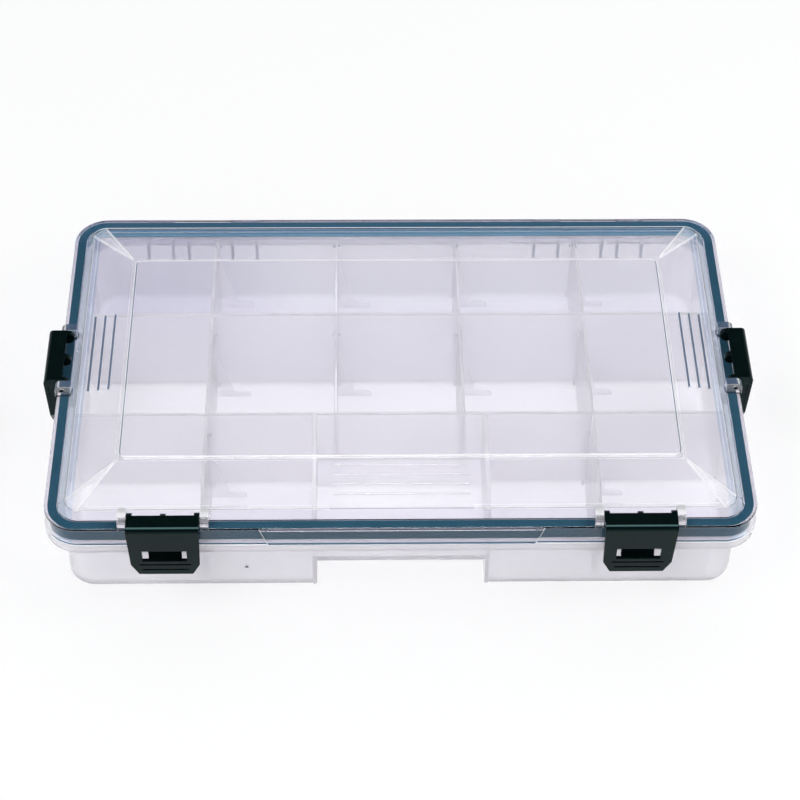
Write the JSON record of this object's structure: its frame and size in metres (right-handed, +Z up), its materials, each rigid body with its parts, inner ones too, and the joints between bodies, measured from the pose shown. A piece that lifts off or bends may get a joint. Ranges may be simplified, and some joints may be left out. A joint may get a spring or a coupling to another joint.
{
  "type": "compartment box",
  "caption": "Flat hinged compartment box with a clear domed lid, a gasket seal, snap latches, fixed partitions, lift-out dividers and a finger recess.",
  "frame": {"origin": "on the resting face, under the middle of the lid's rim", "axes": "+X along the long side, +Y towards the hinges, +Z up"},
  "size_m": [0.3682, 0.2366, 0.0637],
  "materials": {
    "base_plastic": "translucent, slightly milky",
    "lid_plastic": "clear, polished",
    "seal_rubber": "soft, matte, blue grey",
    "latch_plastic": "satin black",
    "pin_steel": "drawn wire",
    "divider_plastic": "translucent"
  },
  "bodies": {
    "base": {"base_tray": "base_plastic", "hinge_pin_left": "pin_steel", "hinge_pin_right": "pin_steel", "divider_rear_1": "divider_plastic", "divider_rear_2": "divider_plastic", "divider_rear_3": "divider_plastic", "divider_rear_4": "divider_plastic", "divider_middle_1": "divider_plastic", "divider_middle_2": "divider_plastic", "divider_middle_3": "divider_plastic", "divider_middle_4": "divider_plastic", "divider_front_1": "divider_plastic", "divider_front_2": "divider_plastic"},
    "lid": {"lid_shell": "lid_plastic", "lid_gasket": "seal_rubber"},
    "latch_front_left": {"latch_front_left": "latch_plastic"},
    "latch_front_right": {"latch_front_right": "latch_plastic"},
    "latch_left": {"latch_left": "latch_plastic"},
    "latch_right": {"latch_right": "latch_plastic"}
  },
  "joints": [
    {"name": "lid_hinge", "type": "hinge", "parent": "base", "child": "lid", "pos_m": [0, 0.1155, 0.0445], "axis": [-1, 0, 0], "range_deg": [0, 110]},
    {"name": "latch_front_left_pivot", "type": "hinge", "parent": "lid", "child": "latch_front_left", "pos_m": [-0.1173, -0.108, 0.06], "axis": [-1, 0, 0], "range_deg": [0, 110]},
    {"name": "latch_front_right_pivot", "type": "hinge", "parent": "lid", "child": "latch_front_right", "pos_m": [0.1173, -0.108, 0.06], "axis": [-1, 0, 0], "range_deg": [0, 110]},
    {"name": "latch_left_pivot", "type": "hinge", "parent": "lid", "child": "latch_left", "pos_m": [-0.1745, 0, 0.06], "axis": [0, 1, 0], "range_deg": [0, 110]},
    {"name": "latch_right_pivot", "type": "hinge", "parent": "lid", "child": "latch_right", "pos_m": [0.1745, 0, 0.06], "axis": [0, -1, 0], "range_deg": [0, 110]}
  ]
}
